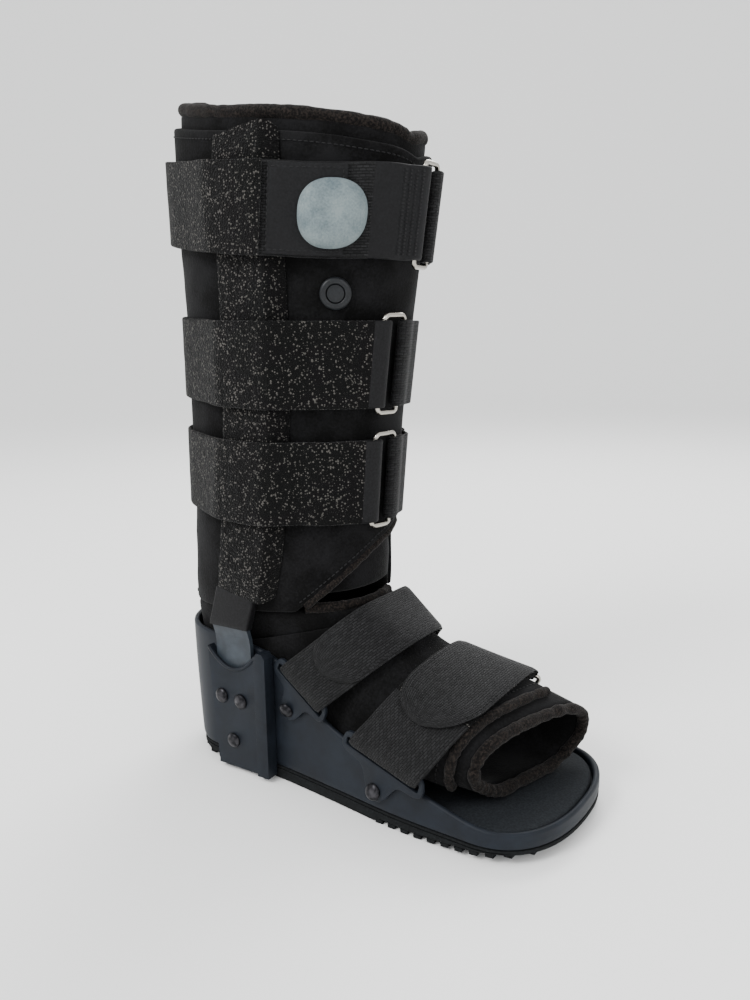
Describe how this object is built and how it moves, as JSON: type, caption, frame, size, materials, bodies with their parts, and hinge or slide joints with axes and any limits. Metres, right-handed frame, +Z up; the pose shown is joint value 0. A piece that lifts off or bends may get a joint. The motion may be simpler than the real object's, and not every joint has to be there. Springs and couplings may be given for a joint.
{
  "type": "tall pneumatic walking boot",
  "caption": "Tall black walking boot for an injured foot: rocker sole, moulded heel cup, two uprights, padded liner, ring straps and a round pump bulb.",
  "frame": {"origin": "on the ground under the middle of the sole, halfway between heel and toe", "axes": "+X to the toe, +Y to the side without the pump, +Z up along the leg"},
  "size_m": [0.285, 0.1458, 0.4288],
  "materials": {
    "rubber": "matte",
    "shell_plastic": "matte, dark blue grey",
    "bracket_plastic": "matte",
    "foam": "matte foam sheet",
    "padding": "knit faced foam",
    "knit": "knit faced foam",
    "edge_binding": "brushed tape",
    "bar_metal": "painted, satin",
    "sheath_cloth": "smooth cloth",
    "loop_pile": "loop pile",
    "webbing": "woven",
    "steel": "bright nickel",
    "bulb_cloth": "light grey cloth over rubber",
    "valve_plastic": "satin"
  },
  "bodies": {
    "root": {"base_shell": "shell_plastic", "bracket_rivet_strap_4_far": "steel", "bracket_rivet_strap_4_near": "steel", "bracket_rivet_strap_5_far": "steel", "bracket_rivet_strap_5_near": "steel", "bracket_strap_4_far": "bracket_plastic", "bracket_strap_4_near": "bracket_plastic", "bracket_strap_5_far": "bracket_plastic", "bracket_strap_5_near": "bracket_plastic", "flap_binding": "edge_binding", "foot_flap": "knit", "foot_pad": "padding", "insole": "foam", "instep_binding": "edge_binding", "leg_layer": "knit", "leg_pad": "padding", "outsole": "rubber", "pump_bulb": "bulb_cloth", "rim_binding": "edge_binding", "socket_far": "shell_plastic", "socket_near": "shell_plastic", "socket_rivet_far_1": "steel", "socket_rivet_far_2": "steel", "socket_rivet_far_3": "steel", "socket_rivet_near_1": "steel", "socket_rivet_near_2": "steel", "socket_rivet_near_3": "steel", "strap_1_band": "loop_pile", "strap_1_pile": "loop_pile", "strap_1_ring": "steel", "strap_1_web": "webbing", "strap_2_band": "loop_pile", "strap_2_ring": "steel", "strap_2_web": "webbing", "strap_3_band": "loop_pile", "strap_3_ring": "steel", "strap_3_web": "webbing", "strap_4": "loop_pile", "strap_4_ring": "steel", "strap_4_ring_loop": "webbing", "strap_5": "loop_pile", "strap_5_ring": "steel", "strap_5_ring_loop": "webbing", "toe_binding": "edge_binding", "toe_flap_binding": "edge_binding", "upright_cover_far": "loop_pile", "upright_cover_near": "loop_pile", "upright_far": "bar_metal", "upright_near": "bar_metal", "upright_sheath_far": "sheath_cloth", "upright_sheath_near": "sheath_cloth", "valve_button": "valve_plastic", "valve_collar": "valve_plastic"}
  },
  "joints": []
}
